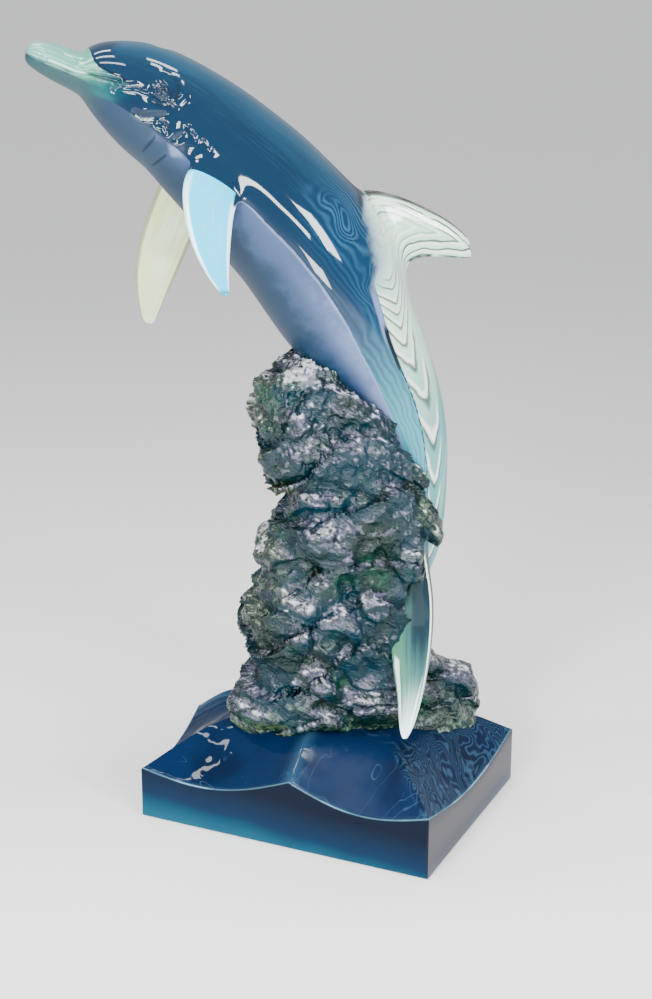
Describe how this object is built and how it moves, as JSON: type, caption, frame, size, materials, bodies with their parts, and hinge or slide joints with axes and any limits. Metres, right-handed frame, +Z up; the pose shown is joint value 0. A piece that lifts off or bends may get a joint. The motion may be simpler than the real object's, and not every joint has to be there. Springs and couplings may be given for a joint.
{
  "type": "acrylic dolphin sculpture",
  "caption": "Leaping dolphin cast in clear and painted acrylic, held by a craggy green acrylic rock on a rectangular slab carved like waves.",
  "frame": {"origin": "middle of the slab's flat underside", "axes": "+X along the slab's long side, +Y along its short side, +Z up; the dolphin heads between -X and -Y"},
  "size_m": [0.6441, 0.4839, 1.2727],
  "materials": {
    "dolphin_acrylic": "polished acrylic, deep blue and lavender paint, clear pale mint along the back of the tail and in the fins",
    "rock_acrylic": "dark green clear acrylic, craggy and glossy",
    "base_acrylic": "deep blue clear acrylic, polished"
  },
  "bodies": {
    "root": {"dolphin": "dolphin_acrylic", "rock": "rock_acrylic", "wave_base": "base_acrylic"}
  },
  "joints": []
}
